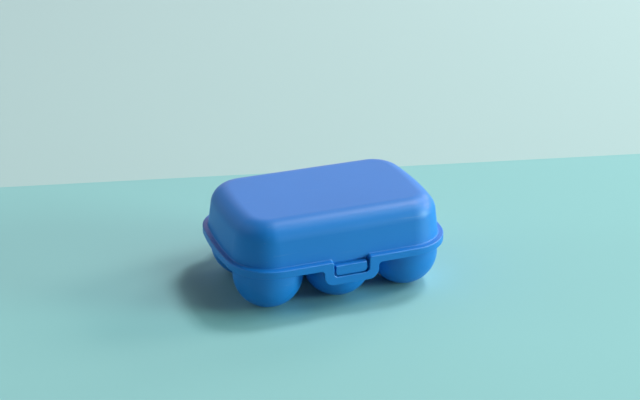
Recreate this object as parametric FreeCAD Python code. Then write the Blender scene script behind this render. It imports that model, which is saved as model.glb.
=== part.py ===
"""A box for six eggs: a cupped tray, a domed lid on two pinned hinges and a springy clasp at the front."""

import FreeCAD, Part
import math
import os

V = FreeCAD.Vector

# Sizes are in millimetres. X runs along the box, the clasp is at -Y, the hinges are at +Y,
# and the feet of the cups stand on Z = 0.

# Flange outline, which every level of the lid and the tray follows
flange_length = 158.2
flange_width = 109.0
corner_radius = 31.0
end_bow_radius = 237.0

# Lid
total_height = 65.3
flange_top = 36.4
flange_thickness = 2.0
flange_edge_radius = 0.7
skirt_drop = 5.2
skirt_thickness = 1.7
skirt_edge_radius = 0.5
flange_land = 5.0
lid_end_land = 3.7
lid_wall = 1.8
lid_draft_degrees = 7.7
lid_edge_radius = 13.6
lid_root_radius = 0.8

# Tray
cup_columns = 3
cup_rows = 2
cup_end_inset = 6.25
cup_front_inset = 4.35
cup_back_inset = 8.1
cup_gap = 1.9
cup_wall = 1.8
cup_mouth_radius = 1.2
foot_cut = 0.6
deck_thickness = 2.0
deck_edge_radius = 0.6
lid_seat_gap = 0.1
skirt_gap = 0.6

# Clasp tongue, its window in the lid, and the nose of the tray behind it
tongue_width = 38.8
tongue_bottom = 19.7
tongue_corner_radius = 7.0
tongue_root_radius = 2.5
window_width = 25.2
window_bottom = 25.5
window_corner_radius = 3.0
window_mouth_radius = 1.6
bar_thickness = 0.8
seam_height = 28.55
seam_gap = 0.15
nose_width = 22.2
nose_bottom = 26.0
nose_top = 33.0
nose_corner_radius = 2.4
nose_edge_radius = 0.5
nose_root_height = 3.9
nose_clearance = 0.15
nose_pocket_depth = 5.4
catch_width = 32.0
catch_overlap = 1.5

# Hinges
hinge_spacing = 70.0
hinge_axis_gap = 3.5
hinge_drop = 1.75
knuckle_radius = 3.2
knuckle_width = 14.0
knuckle_edge_radius = 0.4
lug_width = 4.0
lug_root = 6.0
hinge_side_gap = 0.3
pin_radius = 1.5
pin_head_radius = 2.5
pin_head_thickness = 1.1
pin_head_edge_radius = 0.5
pin_tip_chamfer = 0.4
lug_bore_clearance = 0.02
knuckle_bore_clearance = 0.08

# Cuts run this far past the faces that they open, and edges this close to a level lie on it.
overrun = 2.0
touch = 0.01

# Levels and places that follow from the sizes above
skirt_bottom = flange_top - skirt_drop
flange_bottom = flange_top - flange_thickness
deck_top = flange_bottom - lid_seat_gap
deck_bottom = deck_top - deck_thickness
deck_inset = skirt_thickness + skirt_gap
# The cups are as large as the tighter direction of the tray allows. They stand evenly spaced,
# with the front row at its inset and the columns about the middle.
cup_room_x = flange_length - 2 * cup_end_inset
cup_room_y = flange_width - cup_front_inset - cup_back_inset
cup_width_x = (cup_room_x - (cup_columns - 1) * cup_gap) / cup_columns
cup_width_y = (cup_room_y - (cup_rows - 1) * cup_gap) / cup_rows
cup_radius = min(cup_width_x, cup_width_y) / 2
cup_pitch = 2 * cup_radius + cup_gap
cup_centre_height = cup_radius - foot_cut
cup_bore = cup_radius - cup_wall
front_y = -flange_width / 2
back_y = flange_width / 2
front_row_y = front_y + cup_front_inset + cup_radius
# The lid's walls stand nearer to the flange's edge at the ends than at the sides.
lid_stretch = flange_land - lid_end_land
nose_front_y = front_y + bar_thickness + nose_clearance
nose_back_y = front_y + nose_pocket_depth
hinge_y = back_y + hinge_axis_gap
hinge_height = flange_bottom - hinge_drop
hinge_half_width = knuckle_width / 2 + hinge_side_gap + lug_width
hinge_sides = {"left": -1, "right": 1}
# The hinges reach past the flange at the back, so the box moves forward by half of that reach
# and the origin is under the middle of the whole box.
box_shift = V(0, -(hinge_axis_gap + knuckle_radius) / 2, 0)


def arc(middle, radius, start, end):
    """Edge of a level arc about middle, from one angle to another in radians."""
    angles = (start, (start + end) / 2, end)
    points = [middle + V(radius * math.cos(a), radius * math.sin(a), 0) for a in angles]
    return Part.Arc(*points).toShape()


def soft_rectangle(inset, z, stretch=0):
    """The flange outline moved in by inset, with each half moved out by stretch: straight long sides,
    round corners and bowed ends."""
    bow_x = flange_length / 2 - end_bow_radius + stretch
    corner_y = flange_width / 2 - corner_radius
    reach = math.sqrt((end_bow_radius - corner_radius) ** 2 - corner_y**2)
    corner_x = bow_x + reach
    swing = math.atan2(corner_y, reach)
    half_width = flange_width / 2 - inset
    corner = corner_radius - inset
    bow = end_bow_radius - inset
    right = math.pi / 2
    half_turn = math.pi
    edges = [
        arc(V(corner_x, -corner_y, z), corner, -right, -swing),
        arc(V(bow_x, 0, z), bow, -swing, swing),
        arc(V(corner_x, corner_y, z), corner, swing, right),
        Part.makeLine(V(corner_x, half_width, z), V(-corner_x, half_width, z)),
        arc(V(-corner_x, corner_y, z), corner, right, half_turn - swing),
        arc(V(-bow_x, 0, z), bow, half_turn - swing, half_turn + swing),
        arc(V(-corner_x, -corner_y, z), corner, half_turn + swing, half_turn + right),
        Part.makeLine(V(-corner_x, -half_width, z), V(corner_x, -half_width, z)),
    ]
    return Part.Wire(edges)


def slab(inset, low, high):
    """Upright plate with the flange outline."""
    return Part.Face(soft_rectangle(inset, low)).extrude(V(0, 0, high - low))


def level_edges(shape, z):
    """Edges that lie at height z."""
    return [e for e in shape.Edges if max(abs(e.BoundBox.ZMin - z), abs(e.BoundBox.ZMax - z)) < touch]


def dome(inset, low, high, edge_radius):
    """Drafted block with the lid's outline, a rounded top and this inset at the top of the flange."""
    lean = math.tan(math.radians(lid_draft_degrees))
    rings = [soft_rectangle(inset + (z - flange_top) * lean, z, lid_stretch) for z in (low, high)]
    block = Part.makeLoft(rings, True, True)
    return block.makeFillet(edge_radius, level_edges(block, high))


def box(x, y, z):
    """Block between the two bounds given for each direction."""
    return Part.makeBox(x[1] - x[0], y[1] - y[0], z[1] - z[0], V(x[0], y[0], z[0]))


def rod(x, radius):
    """Cylinder on the hinge axis between two places along it."""
    return Part.makeCylinder(radius, x[1] - x[0], V(x[0], hinge_y, hinge_height), V(1, 0, 0))


def upright_face(points, y):
    """Upright face at depth y. A point (x, z) ends a line, and (x, z, bulge) ends an arc through bulge."""
    corners = [V(p[0], y, p[1]) for p in points]
    edges = []
    for start, point, end in zip(corners, points[1:] + points[:1], corners[1:] + corners[:1]):
        if len(point) > 2:
            bulge_x, bulge_z = point[2]
            edges.append(Part.Arc(start, V(bulge_x, y, bulge_z), end).toShape())
        else:
            edges.append(Part.makeLine(start, end))
    return Part.Face(Part.Wire(edges))


def mirrored_outline(half):
    """Closes a right half outline, listed from the bottom up, with its mirror image on the left."""
    left = [(-half[-1][0], half[-1][1])]
    for below, point in reversed(list(zip(half, half[1:]))):
        bulge = [(-p[0], p[1]) for p in point[2:]]
        left.append((-below[0], below[1], *bulge))
    return half + left


def on_arc(x, z, radius, degrees):
    """Point (x, z) at an angle on a round in the front view."""
    return (x + radius * math.cos(math.radians(degrees)), z + radius * math.sin(math.radians(degrees)))


def tongue_face():
    """Front of the tongue below the skirt: round lower corners and filleted roots."""
    half = tongue_width / 2
    round_x = half - tongue_corner_radius
    round_z = tongue_bottom + tongue_corner_radius
    root_x = half + tongue_root_radius
    root_z = skirt_bottom - tongue_root_radius
    return upright_face(mirrored_outline([
        (round_x, tongue_bottom),
        (half, round_z, on_arc(round_x, round_z, tongue_corner_radius, -45)),
        (half, root_z),
        (root_x, skirt_bottom, on_arc(root_x, root_z, tongue_root_radius, 135)),
        (root_x, skirt_bottom + tongue_root_radius),
    ]), front_y)


def window_face():
    """Front of the window, which opens upwards through the skirt and the flange."""
    half = window_width / 2
    round_x = half - window_corner_radius
    round_z = window_bottom + window_corner_radius
    mouth_x = half + window_mouth_radius
    mouth_z = flange_top - window_mouth_radius
    return upright_face(mirrored_outline([
        (round_x, window_bottom),
        (half, round_z, on_arc(round_x, round_z, window_corner_radius, -45)),
        (half, mouth_z),
        (mouth_x, flange_top, on_arc(mouth_x, mouth_z, window_mouth_radius, 135)),
        (mouth_x, flange_top + overrun),
    ]), front_y)


def edges_on(shape, wires):
    """Edges whose middle lies on one of the wires."""
    found = []
    for edge in shape.Edges:
        middle = Part.Vertex(edge.valueAt((edge.FirstParameter + edge.LastParameter) / 2))
        if min(middle.distToShape(wire)[0] for wire in wires) < touch:
            found.append(edge)
    return found


def front_plate():
    """Flange and skirt as a solid plate with the whole tongue and the window, and every rim rounded."""
    through = V(0, flange_land + lid_wall + overrun, 0)
    opening = window_face().translated(V(0, -overrun, 0)).extrude(through + V(0, overrun, 0))
    plate = slab(0, skirt_bottom, flange_top).fuse(tongue_face().extrude(V(0, skirt_thickness, 0)))
    plate = plate.cut(opening).removeSplitter()
    upper = [soft_rectangle(0, flange_top), window_face().OuterWire]
    plate = plate.makeFillet(flange_edge_radius, edges_on(plate, upper))
    lower = [soft_rectangle(0, skirt_bottom), tongue_face().OuterWire]
    return plate.makeFillet(skirt_edge_radius, edges_on(plate, lower))


def below_seam():
    """Everything in front of the skirt's inner face and under the middle of the seam."""
    half = tongue_width
    return box((-half, half), (front_y - overrun, front_y + skirt_thickness + overrun), (0, seam_height))


def front_clasp():
    """The free part of the tongue: two legs and a thin bar that springs over the nose."""
    lower = front_plate().common(below_seam().translated(V(0, 0, -seam_gap / 2)))
    across = (-window_width / 2, window_width / 2)
    behind_bar = (front_y + bar_thickness, front_y + skirt_thickness + overrun)
    return lower.cut(box(across, behind_bar, (0, seam_height))).removeSplitter()


def lid_shell():
    """Domed cover, flange, skirt and the roots of the clasp's legs in one shell."""
    shell = front_plate().cut(below_seam().translated(V(0, 0, seam_gap / 2)))
    shell = shell.fuse(dome(flange_land, flange_bottom, total_height, lid_edge_radius)).removeSplitter()
    root = soft_rectangle(flange_land, flange_top, lid_stretch)
    shell = shell.makeFillet(lid_root_radius, edges_on(shell, [root]))
    hollow = dome(flange_land + lid_wall, flange_bottom, total_height - lid_wall, lid_edge_radius - lid_wall)
    under = slab(skirt_thickness, skirt_bottom - overrun, flange_bottom)
    return shell.cut(hollow).cut(under)


def lug_spans(side):
    """The two stretches along the hinge axis that a hinge's tray lugs take."""
    middle = side * hinge_spacing / 2
    inner = knuckle_width / 2 + hinge_side_gap
    return [(middle - hinge_half_width, middle - inner), (middle + inner, middle + hinge_half_width)]


def knuckle_span(side):
    """The stretch along the hinge axis that a hinge's lid knuckle takes."""
    middle = side * hinge_spacing / 2
    return (middle - knuckle_width / 2, middle + knuckle_width / 2)


def end_edges(shape, x):
    """Edges that lie at one place along the hinge axis."""
    return [e for e in shape.Edges if max(abs(e.BoundBox.XMin - x), abs(e.BoundBox.XMax - x)) < touch]


def soft_ends(shape, span):
    """A hinge eye with the edges of its two end faces rounded."""
    shape = shape.removeSplitter()
    return shape.makeFillet(knuckle_edge_radius, end_edges(shape, span[0]) + end_edges(shape, span[1]))


def knuckle(span):
    """Hinge eye of the lid on an arm out of the middle of the skirt."""
    arm = box(span, (back_y - skirt_thickness / 2, hinge_y), (skirt_bottom, hinge_height + knuckle_radius))
    return soft_ends(arm.fuse(rod(span, knuckle_radius)), span)


def lid():
    """Shell with two hinge knuckles and room for the tray lugs."""
    shape = lid_shell()
    for side in hinge_sides.values():
        for low, high in lug_spans(side):
            across = (low - hinge_side_gap, high + hinge_side_gap)
            shape = shape.cut(box(across, (back_y - deck_inset, back_y + overrun), (0, flange_bottom)))
        span = knuckle_span(side)
        shape = shape.fuse(knuckle(span)).cut(rod(span, pin_radius + knuckle_bore_clearance))
    return shape.removeSplitter()


def revolved(points, middle):
    """Solid of revolution of an outline about the upright line through middle."""
    return upright_face(points, 0).revolve(V(0, 0, 0), V(0, 0, 1), 360).translated(middle)


def cup_places():
    """Middles of the cups on the table."""
    places = []
    for column in range(cup_columns):
        for row in range(cup_rows):
            x = (column - (cup_columns - 1) / 2) * cup_pitch
            places.append(V(x, front_row_y + row * cup_pitch, 0))
    return places


def cup_body(middle):
    """Outside of a cup: a ball that stands on a small flat foot and runs straight up to the deck."""
    foot_radius = math.sqrt(cup_radius**2 - cup_centre_height**2)
    foot_angle = math.asin(foot_radius / cup_radius)
    bulge_angle = (foot_angle + math.pi / 2) / 2
    bulge = (cup_radius * math.sin(bulge_angle), cup_centre_height - cup_radius * math.cos(bulge_angle))
    return revolved([
        (0, 0),
        (foot_radius, 0),
        (cup_radius, cup_centre_height, bulge),
        (cup_radius, deck_top),
        (0, deck_top),
    ], middle)


def cup_hollow(middle):
    """Inside of a cup."""
    low = cup_centre_height - cup_bore
    bulge = (cup_bore * math.sin(math.pi / 4), cup_centre_height - cup_bore * math.cos(math.pi / 4))
    return revolved([
        (0, low),
        (cup_bore, cup_centre_height, bulge),
        (cup_bore, deck_top + overrun),
        (0, deck_top + overrun),
    ], middle)


def nose():
    """Block with round lower corners that the clasp's bar snaps under."""
    half = nose_width / 2
    block = box((-half, half), (nose_front_y, nose_back_y), (nose_bottom, nose_top))
    lengthwise = [e for e in block.Edges if e.BoundBox.YMax - e.BoundBox.YMin > touch]
    corners = [e for e in lengthwise if e.BoundBox.ZMax < nose_top - touch]
    block = block.makeFillet(nose_corner_radius, corners)
    rim = [e for e in block.Edges if e.BoundBox.YMax - nose_front_y < touch]
    return block.makeFillet(nose_edge_radius, rim)


def catch_block():
    """Block under the deck's front edge that grows out of the middle cup and carries the nose."""
    half = catch_width / 2
    depth = (front_y + deck_inset, front_row_y - cup_bore / 2)
    return box((-half, half), depth, (window_bottom - catch_overlap, deck_bottom + deck_edge_radius))


def nose_pocket():
    """Room round the upper part of the nose, as wide as the window of the lid."""
    half = window_width / 2
    floor = nose_bottom + nose_root_height
    return box((-half, half), (front_y, nose_back_y), (floor, deck_top + overrun))


def lug(span):
    """Hinge eye on an arm that tapers into the underside of the deck."""
    root_y = back_y - deck_inset - lug_root
    points = [
        V(span[0], hinge_y, hinge_height - knuckle_radius),
        V(span[0], hinge_y, deck_top),
        V(span[0], root_y, deck_top),
        V(span[0], root_y, deck_bottom),
    ]
    arm = Part.Face(Part.makePolygon(points + points[:1])).extrude(V(span[1] - span[0], 0, 0))
    return soft_ends(arm.fuse(rod(span, knuckle_radius)), span)


def tray():
    """Deck with six cups below it, the nose at the front and the hinge lugs at the back."""
    deck = slab(deck_inset, deck_bottom, deck_top)
    deck = deck.makeFillet(deck_edge_radius, level_edges(deck, deck_top) + level_edges(deck, deck_bottom))
    lugs = [lug(span) for side in hinge_sides.values() for span in lug_spans(side)]
    shape = deck.multiFuse([cup_body(p) for p in cup_places()] + [catch_block()] + lugs)
    for place in cup_places():
        shape = shape.cut(cup_hollow(place))
    for side in hinge_sides.values():
        middle = side * hinge_spacing / 2
        both_lugs = (middle - hinge_half_width, middle + hinge_half_width)
        shape = shape.cut(rod(both_lugs, pin_radius + lug_bore_clearance))
    shape = shape.removeSplitter()
    mouths = [e for e in level_edges(shape, deck_top) if abs(e.Length - math.tau * cup_bore) < touch]
    shape = shape.makeFillet(cup_mouth_radius, mouths)
    return shape.cut(nose_pocket()).fuse(nose()).removeSplitter()


def hinge_pin(side):
    """Headed pin through one hinge, with its head on the outer side and a chamfered tip."""
    outer = side * (hinge_spacing / 2 + hinge_half_width)
    inner = side * (hinge_spacing / 2 - hinge_half_width)
    shank = rod(sorted((inner, outer)), pin_radius)
    shank = shank.makeChamfer(pin_tip_chamfer, end_edges(shank, inner))
    crown = outer + side * pin_head_thickness
    head = rod(sorted((outer, crown)), pin_head_radius)
    head = head.makeFillet(pin_head_edge_radius, end_edges(head, crown))
    return shank.fuse(head).removeSplitter()


def write(name, shape):
    """Saves one piece in the frame of the whole box."""
    shape.translated(box_shift).exportStep("parts/" + name + ".step")


os.makedirs("parts", exist_ok=True)
write("tray", tray())
write("lid", lid())
write("front_clasp", front_clasp())
for side_name, side_sign in hinge_sides.items():
    write("hinge_pin_" + side_name, hinge_pin(side_sign))
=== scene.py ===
"""Looks of a blue moulded egg box: a domed lid with a clasp tongue over a tray of six round cups."""

import math

import bmesh
import bpy
from mathutils import Matrix, Vector


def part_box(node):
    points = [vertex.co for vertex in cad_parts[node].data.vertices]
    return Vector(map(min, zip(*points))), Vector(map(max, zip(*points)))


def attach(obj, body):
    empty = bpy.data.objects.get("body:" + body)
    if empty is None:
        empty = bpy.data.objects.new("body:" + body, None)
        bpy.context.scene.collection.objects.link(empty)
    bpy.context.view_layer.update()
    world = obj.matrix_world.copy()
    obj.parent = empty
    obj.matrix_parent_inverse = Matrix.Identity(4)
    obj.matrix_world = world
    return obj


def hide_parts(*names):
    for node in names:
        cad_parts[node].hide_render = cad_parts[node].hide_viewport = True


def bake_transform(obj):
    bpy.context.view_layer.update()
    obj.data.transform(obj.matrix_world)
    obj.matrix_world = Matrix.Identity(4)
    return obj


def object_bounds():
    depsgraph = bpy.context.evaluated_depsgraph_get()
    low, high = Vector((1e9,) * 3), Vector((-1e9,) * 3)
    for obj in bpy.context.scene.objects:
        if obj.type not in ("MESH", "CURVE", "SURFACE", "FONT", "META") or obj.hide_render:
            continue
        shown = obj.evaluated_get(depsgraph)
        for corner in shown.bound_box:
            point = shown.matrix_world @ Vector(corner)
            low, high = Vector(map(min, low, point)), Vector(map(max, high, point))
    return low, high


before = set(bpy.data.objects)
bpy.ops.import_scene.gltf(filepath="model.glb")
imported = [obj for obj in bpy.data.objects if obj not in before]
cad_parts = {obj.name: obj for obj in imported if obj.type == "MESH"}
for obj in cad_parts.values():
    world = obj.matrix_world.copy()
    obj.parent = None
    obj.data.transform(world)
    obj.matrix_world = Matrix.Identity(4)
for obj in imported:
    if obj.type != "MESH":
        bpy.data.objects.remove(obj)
cad_low, cad_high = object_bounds()

MM = 0.001

# Camera, from the photograph's outlines: place in millimetres, turns in radians, focal length and picture
# width in pixels, sensor width in millimetres, and how far it sees in metres
CAMERA_PLACE = (-313.56, -801.16, 445.22)
CAMERA_YAW = 0.3724
CAMERA_PITCH = 0.4258
CAMERA_ROLL = 0.0068
FOCAL_PIXELS = 1374.76
PICTURE_WIDTH = 640
SENSOR_WIDTH = 36.0
CAMERA_REACH = 100

# Floor, in metres: a mint sheet in front of a line, and paler ground behind it
FLOOR_HALF = 6.0
SHEET_EDGE_POINT = (-0.0943, 0.204)
SHEET_EDGE_TURN = math.radians(-12.76)
SHEET_COLOUR = (0.30, 0.635, 0.635, 1)
GROUND_COLOUR = (0.45, 0.672, 0.668, 1)
FLOOR_ROUGHNESS = 0.9
FLOOR_GLOSS = 0.1

# Square soft lamps, all at one distance in metres and turned to the box: azimuth from the front towards the
# right and elevation in degrees, side in metres, power in watts, and colour
LAMP_DISTANCE = 4.0
PLAIN = (1.0, 0.98, 0.98)
LAMPS = {
    "low_front_right": (60, 9, 1.2, 115.0, (0.74, 1.0, 0.88)),
    "right": (90, 25, 1.2, 58.0, (1.0, 0.70, 0.61)),
    "key": (106, 60, 0.7, 50.0, (1.0, 0.87, 0.93)),
    "high_right": (60, 45, 2.4, 39.0, (0.61, 0.96, 1.0)),
    "key_back": (118, 60, 0.7, 19.5, (1.0, 0.85, 0.85)),
    "right_back": (120, 25, 1.2, 33.0, (1.0, 0.79, 0.73)),
    "low_left": (-110, 9, 1.2, 27.0, (0.80, 0.91, 0.92)),
    "key_front": (60, 60, 1.6, 20.0, PLAIN),
    "back": (160, 25, 3.0, 26.0, (1.0, 0.65, 0.85)),
    "far_back": (-160, 25, 3.0, 4.0, (1.0, 0.80, 0.95)),
    "left": (-110, 45, 3.0, 17.5, (1.0, 0.92, 0.83)),
    "low_front": (30, 9, 1.2, 13.5, PLAIN),
}
# A lamp that lights the box but doesn't show in its gloss, where it would be a pale spot on the lid's corner
MATT_LAMPS = ("low_left",)
# Surroundings that only the camera and the gloss see
WORLD_COLOUR = (0.50, 0.52, 0.55, 1)

# Blue plastic: two close shades that drift into each other, and the pale shade of a rub
SHADE_DEEP = (0.002, 0.188, 0.595, 1)
SHADE_LIGHT = (0.003, 0.202, 0.635, 1)
SHADE_RUBBED = (0.10, 0.28, 0.62, 1)
PLASTIC_IOR = 1.5
# How far its roughness swings each way over the grain, how much it rises on a scuff, and the grain's strength
SATIN_SWING = 0.03
SCUFF_ROUGHNESS = 0.15
BUMP_STRENGTH = 0.5

# Patterns on the plastic: noise scales per metre, and the spans of noise over which a pattern grows to full
GRAIN_SCALE = 2600.0
WAVE_SCALE = 55.0
WAVE_SHARE = 1.5
DRIFT_SCALE = 14.0
NOISE_SPAN = (0.3, 0.7)
SCUFF_STRETCH = (30.0, 700.0, 700.0)
SCUFF_LINE_SPAN = (0.62, 0.72)
SCUFF_PATCH_SCALE = 35.0
SCUFF_PATCH_SPAN = (0.5, 0.68)
RUB_SPECKLE_SPAN = (0.2, 0.8)
RUB_COVER = (0.25, 0.6)

# Finishes: roughness, share of scuffs, depth of the grain in metres, and the heights in metres from where a
# rub starts to where it is full
FINISHES = {
    "lid_blue": (0.45, 0.3, 0.02 * MM, None),
    "tray_blue": (0.45, 0.2, 0.02 * MM, (1.0 * MM, 0.1 * MM)),
    "pin_blue": (0.38, 0.1, 0.01 * MM, None),
    "clasp_blue": (0.42, 0.4, 0.02 * MM, None),
}
NODE_FINISHES = {
    "lid": "lid_blue",
    "tray": "tray_blue",
    "hinge_pin_left": "pin_blue",
    "hinge_pin_right": "pin_blue",
}

# Clasp tongue, in metres: how far below the seam its legs are cut into rows for a bend, in how many rows, and
# how close points merge
LEG_BEND = 3.4 * MM
LEG_ROWS = 8
WELD = 0.002 * MM
SMOOTH_ANGLE = math.radians(32)

# Round marks that the mould's ejector pins leave, in metres
MARK_RADIUS = 3.2 * MM
MARK_TAPER = 0.93
MARK_PROUD = 0.07 * MM
MARK_SUNK = 0.3 * MM
MARK_SIDES = 40
FACING_UP = (0, 0, 0)
FACING_DOWN = (math.pi, 0, 0)
LID_MARK_COLUMNS = (-45 * MM, -15 * MM, 15 * MM, 45 * MM)
LID_MARK_ROW = 21 * MM
LID_INSIDE_TOP = 63.5 * MM
LID_MIDDLE_Y = -3.35 * MM
DECK_MARK_COLUMNS = (-70.5 * MM, -24.6 * MM, 24.6 * MM, 70.5 * MM)
DECK_MARK_Y = -5.25 * MM
DECK_TOP = 34.3 * MM


def combined(tree, operation, first, second):
    """Two sockets, or a socket and a number, put through one Math node: its socket."""
    node = tree.nodes.new("ShaderNodeMath")
    node.operation = operation
    for socket, value in zip(node.inputs, (first, second)):
        if isinstance(value, (int, float)):
            socket.default_value = value
        else:
            tree.links.new(value, socket)
    return node.outputs["Value"]


def stretched(tree, value, low, high, to_low=0.0, to_high=1.0):
    """Value from low to high stretched to a new span, held at its ends: its socket."""
    node = tree.nodes.new("ShaderNodeMapRange")
    node.inputs["From Min"].default_value = low
    node.inputs["From Max"].default_value = high
    node.inputs["To Min"].default_value = to_low
    node.inputs["To Max"].default_value = to_high
    tree.links.new(value, node.inputs["Value"])
    return node.outputs["Result"]


def noise(tree, place, scale, detail=2.0, roughness=0.5):
    """Noise texture whose scale is a socket or a number: its value socket."""
    node = tree.nodes.new("ShaderNodeTexNoise")
    node.inputs["Detail"].default_value = detail
    node.inputs["Roughness"].default_value = roughness
    tree.links.new(place, node.inputs["Vector"])
    if isinstance(scale, (int, float)):
        node.inputs["Scale"].default_value = scale
    else:
        tree.links.new(scale, node.inputs["Scale"])
    return node.outputs["Fac"]


def colour_mix(tree, share, first, second):
    """Mix of two colours, each a socket or four numbers, by a share's socket: its socket."""
    node = tree.nodes.new("ShaderNodeMix")
    node.data_type = "RGBA"
    tree.links.new(share, node.inputs["Factor"])
    for label, colour in (("A", first), ("B", second)):
        if isinstance(colour, tuple):
            node.inputs[label].default_value = colour
        else:
            tree.links.new(colour, node.inputs[label])
    return node.outputs["Result"]


def new_material(name):
    """Material with its Principled shader: (material, its tree, the shader's inputs)."""
    material = bpy.data.materials.new(name)
    material.use_nodes = True
    tree = material.node_tree
    return material, tree, tree.nodes["Principled BSDF"].inputs


def shader_group(name, inputs, outputs):
    """Empty shader group with named sockets: (tree, what it takes, what it gives)."""
    tree = bpy.data.node_groups.new(name, "ShaderNodeTree")
    for label, kind, value in inputs:
        socket = tree.interface.new_socket(label, in_out="INPUT", socket_type=kind)
        if value is not None:
            socket.default_value = value
    for label in outputs:
        tree.interface.new_socket(label, in_out="OUTPUT", socket_type="NodeSocketFloat")
    taken = tree.nodes.new("NodeGroupInput")
    given = tree.nodes.new("NodeGroupOutput")
    return tree, taken.outputs, given.inputs


def placed_group(tree, group, place):
    """Group node on the surface's place: its output sockets."""
    node = tree.nodes.new("ShaderNodeGroup")
    node.node_tree = group
    tree.links.new(place, node.inputs["Place"])
    return node.outputs


def add_camera():
    """Camera at the photograph's viewing angle."""
    ahead = Vector((
        math.sin(CAMERA_YAW) * math.cos(CAMERA_PITCH),
        math.cos(CAMERA_YAW) * math.cos(CAMERA_PITCH),
        -math.sin(CAMERA_PITCH),
    ))
    level = Vector((math.cos(CAMERA_YAW), -math.sin(CAMERA_YAW), 0))
    upright = level.cross(ahead)
    right = math.cos(CAMERA_ROLL) * level + math.sin(CAMERA_ROLL) * upright
    up = math.cos(CAMERA_ROLL) * upright - math.sin(CAMERA_ROLL) * level
    data = bpy.data.cameras.new("photo_camera")
    data.sensor_width = SENSOR_WIDTH
    data.lens = FOCAL_PIXELS * SENSOR_WIDTH / PICTURE_WIDTH
    data.clip_end = CAMERA_REACH
    camera = bpy.data.objects.new("photo_camera", data)
    turn = Matrix((right, up, -ahead)).transposed()
    camera.matrix_world = Matrix.Translation(Vector(CAMERA_PLACE) * MM) @ turn.to_4x4()
    bpy.context.collection.objects.link(camera)
    bpy.context.scene.camera = camera


def add_lamp(name, azimuth, elevation, side, power, colour):
    """Square soft lamp that looks at the middle of the box."""
    turn, rise = math.radians(azimuth), math.radians(elevation)
    away = Vector((
        math.sin(turn) * math.cos(rise),
        -math.cos(turn) * math.cos(rise),
        math.sin(rise),
    ))
    data = bpy.data.lights.new(name, "AREA")
    data.shape = "SQUARE"
    data.size = side
    data.energy = power
    data.color = colour
    lamp = bpy.data.objects.new(name, data)
    lamp.location = (cad_low + cad_high) / 2 + away * LAMP_DISTANCE
    lamp.rotation_mode = "QUATERNION"
    lamp.rotation_quaternion = (-away).to_track_quat("-Z", "Y")
    lamp.visible_camera = False
    lamp.visible_glossy = name not in MATT_LAMPS
    bpy.context.collection.objects.link(lamp)


def add_world():
    """Pale surroundings that the camera and the gloss see, with no other light on the object."""
    world = bpy.data.worlds.new("studio")
    world.use_nodes = True
    tree = world.node_tree
    background = tree.nodes["Background"].inputs
    background["Color"].default_value = WORLD_COLOUR
    seen = tree.nodes.new("ShaderNodeLightPath").outputs
    strength = combined(tree, "MAXIMUM", seen["Is Camera Ray"], seen["Is Glossy Ray"])
    strength = combined(tree, "MAXIMUM", strength, seen["Is Transmission Ray"])
    tree.links.new(strength, background["Strength"])
    bpy.context.scene.world = world


def floor_material():
    """Mint up to the sheet's edge, paler behind it."""
    material, tree, shader = new_material("mint_sheet")
    place = tree.nodes.new("ShaderNodeTexCoord")
    turn = tree.nodes.new("ShaderNodeMapping")
    turn.vector_type = "TEXTURE"
    turn.inputs["Location"].default_value = (*SHEET_EDGE_POINT, 0)
    turn.inputs["Rotation"].default_value = (0, 0, SHEET_EDGE_TURN)
    split = tree.nodes.new("ShaderNodeSeparateXYZ")
    tree.links.new(place.outputs["Object"], turn.inputs["Vector"])
    tree.links.new(turn.outputs["Vector"], split.inputs["Vector"])
    behind = combined(tree, "GREATER_THAN", split.outputs["Y"], 0)
    tree.links.new(colour_mix(tree, behind, SHEET_COLOUR, GROUND_COLOUR), shader["Base Color"])
    shader["Roughness"].default_value = FLOOR_ROUGHNESS
    shader["Specular IOR Level"].default_value = FLOOR_GLOSS
    return material


def add_floor():
    """Wide floor at table height."""
    data = bpy.data.meshes.new("floor")
    h = FLOOR_HALF
    data.from_pydata([(-h, -h, 0), (h, -h, 0), (h, h, 0), (-h, h, 0)], [], [(0, 1, 2, 3)])
    data.materials.append(floor_material())
    floor = bpy.data.objects.new("floor", data)
    bpy.context.collection.objects.link(floor)


def moulded_grain_group():
    """Fine spark-eroded grain of the mould, with a faint waviness under it."""
    tree, taken, given = shader_group(
        "moulded_grain",
        [
            ("Place", "NodeSocketVector", None),
            ("Grain", "NodeSocketFloat", GRAIN_SCALE),
            ("Wave", "NodeSocketFloat", WAVE_SCALE),
        ],
        ["Height", "Speckle"],
    )
    grain = noise(tree, taken["Place"], taken["Grain"], detail=3.0, roughness=0.6)
    wave = noise(tree, taken["Place"], taken["Wave"], detail=1.0)
    low_wave = combined(tree, "MULTIPLY", wave, WAVE_SHARE)
    tree.links.new(combined(tree, "ADD", grain, low_wave), given["Height"])
    tree.links.new(stretched(tree, grain, *NOISE_SPAN), given["Speckle"])
    return tree


def flow_drift_group():
    """Slow drift of shade where the melt flowed."""
    tree, taken, given = shader_group(
        "flow_drift",
        [("Place", "NodeSocketVector", None), ("Scale", "NodeSocketFloat", DRIFT_SCALE)],
        ["Drift"],
    )
    drift = noise(tree, taken["Place"], taken["Scale"], detail=3.0, roughness=0.45)
    tree.links.new(stretched(tree, drift, *NOISE_SPAN), given["Drift"])
    return tree


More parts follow.
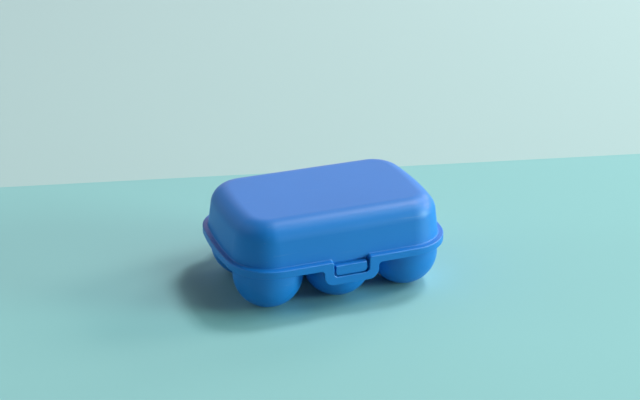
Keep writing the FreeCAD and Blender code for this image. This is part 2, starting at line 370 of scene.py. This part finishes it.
def handling_scuffs_group():
    """Sparse fine scuffs from use, in patches."""
    tree, taken, given = shader_group(
        "handling_scuffs",
        [
            ("Place", "NodeSocketVector", None),
            ("Stretch", "NodeSocketVector", SCUFF_STRETCH),
            ("Patches", "NodeSocketFloat", SCUFF_PATCH_SCALE),
        ],
        ["Scuffs"],
    )
    pulled = tree.nodes.new("ShaderNodeVectorMath")
    pulled.operation = "MULTIPLY"
    tree.links.new(taken["Place"], pulled.inputs[0])
    tree.links.new(taken["Stretch"], pulled.inputs[1])
    lines = noise(tree, pulled.outputs["Vector"], 1.0, roughness=0.6)
    lines = stretched(tree, lines, *SCUFF_LINE_SPAN)
    patches = noise(tree, taken["Place"], taken["Patches"])
    patches = stretched(tree, patches, *SCUFF_PATCH_SPAN)
    tree.links.new(combined(tree, "MULTIPLY", lines, patches), given["Scuffs"])
    return tree


GRAIN = moulded_grain_group()
DRIFT = flow_drift_group()
SCUFFS = handling_scuffs_group()


def blue_plastic(name, roughness, scuff_share, grain_depth, rub_span):
    """Satin blue plastic with its finish's values."""
    material, tree, shader = new_material(name)
    place = tree.nodes.new("ShaderNodeTexCoord").outputs["Object"]
    grain = placed_group(tree, GRAIN, place)
    drift = placed_group(tree, DRIFT, place)["Drift"]
    scuffs = placed_group(tree, SCUFFS, place)["Scuffs"]
    scuffs = combined(tree, "MULTIPLY", scuffs, scuff_share)
    if rub_span:
        split = tree.nodes.new("ShaderNodeSeparateXYZ")
        tree.links.new(place, split.inputs["Vector"])
        rub = stretched(tree, split.outputs["Z"], *rub_span)
        cover = stretched(tree, grain["Speckle"], *RUB_SPECKLE_SPAN, *RUB_COVER)
        scuffs = combined(tree, "MAXIMUM", scuffs, combined(tree, "MULTIPLY", rub, cover))
    shade = colour_mix(tree, drift, SHADE_DEEP, SHADE_LIGHT)
    tree.links.new(colour_mix(tree, scuffs, shade, SHADE_RUBBED), shader["Base Color"])
    satin = stretched(tree, grain["Speckle"], 0, 1, roughness - SATIN_SWING, roughness + SATIN_SWING)
    dulled = combined(tree, "MULTIPLY", scuffs, SCUFF_ROUGHNESS)
    tree.links.new(combined(tree, "ADD", satin, dulled), shader["Roughness"])
    bump = tree.nodes.new("ShaderNodeBump")
    bump.inputs["Strength"].default_value = BUMP_STRENGTH
    bump.inputs["Distance"].default_value = grain_depth
    tree.links.new(grain["Height"], bump.inputs["Height"])
    tree.links.new(bump.outputs["Normal"], shader["Normal"])
    shader["IOR"].default_value = PLASTIC_IOR
    return material


def clasp_tongue(material):
    """Clasp whose legs run on from the lid without a gap, cut into rows below the seam where they would bend.
    """
    work = bmesh.new()
    work.from_mesh(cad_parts["front_clasp"].data)
    bmesh.ops.remove_doubles(work, verts=work.verts, dist=WELD)
    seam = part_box("front_clasp")[1].z
    leg_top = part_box("lid")[0].z
    for vertex in work.verts:
        if vertex.co.z > seam - WELD:
            vertex.co.z = leg_top
    for row in range(1, LEG_ROWS):
        level = leg_top - LEG_BEND * row / LEG_ROWS
        everything = work.verts[:] + work.edges[:] + work.faces[:]
        bmesh.ops.bisect_plane(work, geom=everything, plane_co=(0, 0, level), plane_no=(0, 0, 1))
    data = bpy.data.meshes.new("clasp_tongue")
    work.to_mesh(data)
    work.free()
    carried = data.attributes.get("custom_normal")
    if carried:
        data.attributes.remove(carried)
    data.materials.clear()
    data.materials.append(material)
    data.shade_smooth()
    data.set_sharp_from_angle(angle=SMOOTH_ANGLE)
    tongue = bpy.data.objects.new("clasp_tongue", data)
    bpy.context.collection.objects.link(tongue)
    weighted = tongue.modifiers.new("even_shading", "WEIGHTED_NORMAL")
    weighted.keep_sharp = True
    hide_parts("front_clasp")
    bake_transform(tongue)


def pin_mark_tree():
    """Geometry nodes that set a low round mark with a sloped edge on each point: (tree, its inputs' keys)."""
    tree = bpy.data.node_groups.new("pin_marks", "GeometryNodeTree")
    sockets = {}
    for label, kind in (
        ("Places", "NodeSocketGeometry"),
        ("Radius", "NodeSocketFloat"),
        ("Top Radius", "NodeSocketFloat"),
        ("Height", "NodeSocketFloat"),
        ("Turn", "NodeSocketVector"),
        ("Finish", "NodeSocketMaterial"),
    ):
        sockets[label] = tree.interface.new_socket(label, in_out="INPUT", socket_type=kind).identifier
    tree.interface.new_socket("Marks", in_out="OUTPUT", socket_type="NodeSocketGeometry")
    taken = tree.nodes.new("NodeGroupInput").outputs
    given = tree.nodes.new("NodeGroupOutput").inputs
    disc = tree.nodes.new("GeometryNodeMeshCone")
    disc.inputs["Vertices"].default_value = MARK_SIDES
    turn = tree.nodes.new("FunctionNodeEulerToRotation")
    repeat = tree.nodes.new("GeometryNodeInstanceOnPoints")
    real = tree.nodes.new("GeometryNodeRealizeInstances")
    paint = tree.nodes.new("GeometryNodeSetMaterial")
    for start, end in (
        (taken["Radius"], disc.inputs["Radius Bottom"]),
        (taken["Top Radius"], disc.inputs["Radius Top"]),
        (taken["Height"], disc.inputs["Depth"]),
        (taken["Turn"], turn.inputs["Euler"]),
        (taken["Places"], repeat.inputs["Points"]),
        (disc.outputs["Mesh"], repeat.inputs["Instance"]),
        (turn.outputs["Rotation"], repeat.inputs["Rotation"]),
        (repeat.outputs["Instances"], real.inputs["Geometry"]),
        (real.outputs["Geometry"], paint.inputs["Geometry"]),
        (taken["Finish"], paint.inputs["Material"]),
        (paint.outputs["Geometry"], given["Marks"]),
    ):
        tree.links.new(start, end)
    return tree, sockets


MARK_TREE, MARK_SOCKETS = pin_mark_tree()


def pin_marks(name, places, turn, material, body):
    """Ejector marks of one moulding, at its places."""
    points = bpy.data.meshes.new(name + "_places")
    points.from_pydata(places, [], [])
    maker = bpy.data.objects.new(name + "_maker", points)
    bpy.context.collection.objects.link(maker)
    modifier = maker.modifiers.new("marks", "NODES")
    modifier.node_group = MARK_TREE
    for label, value in (
        ("Radius", MARK_RADIUS),
        ("Top Radius", MARK_RADIUS * MARK_TAPER),
        ("Height", MARK_SUNK + MARK_PROUD),
        ("Turn", turn),
        ("Finish", material),
    ):
        modifier[MARK_SOCKETS[label]] = value
    view = bpy.context.evaluated_depsgraph_get()
    data = bpy.data.meshes.new_from_object(maker.evaluated_get(view))
    bpy.data.objects.remove(maker)
    marks = bpy.data.objects.new(name, data)
    bpy.context.collection.objects.link(marks)
    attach(marks, body)


add_camera()
add_world()
for lamp_name, lamp_values in LAMPS.items():
    add_lamp(lamp_name, *lamp_values)
add_floor()

finishes = {name: blue_plastic(name, *values) for name, values in FINISHES.items()}
for node_name, finish_name in NODE_FINISHES.items():
    node_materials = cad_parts[node_name].data.materials
    node_materials.clear()
    node_materials.append(finishes[finish_name])
clasp_tongue(finishes["clasp_blue"])

lid_marks = [
    (x, LID_MIDDLE_Y + y, LID_INSIDE_TOP + MARK_SUNK)
    for x in LID_MARK_COLUMNS
    for y in (-LID_MARK_ROW, LID_MARK_ROW)
]
deck_marks = [(x, DECK_MARK_Y, DECK_TOP - MARK_SUNK) for x in DECK_MARK_COLUMNS]
pin_marks("lid_pin_marks", lid_marks, FACING_DOWN, finishes["lid_blue"], "lid")
pin_marks("deck_pin_marks", deck_marks, FACING_UP, finishes["tray_blue"], "tray")

bpy.context.scene.view_settings.view_transform = "Standard"
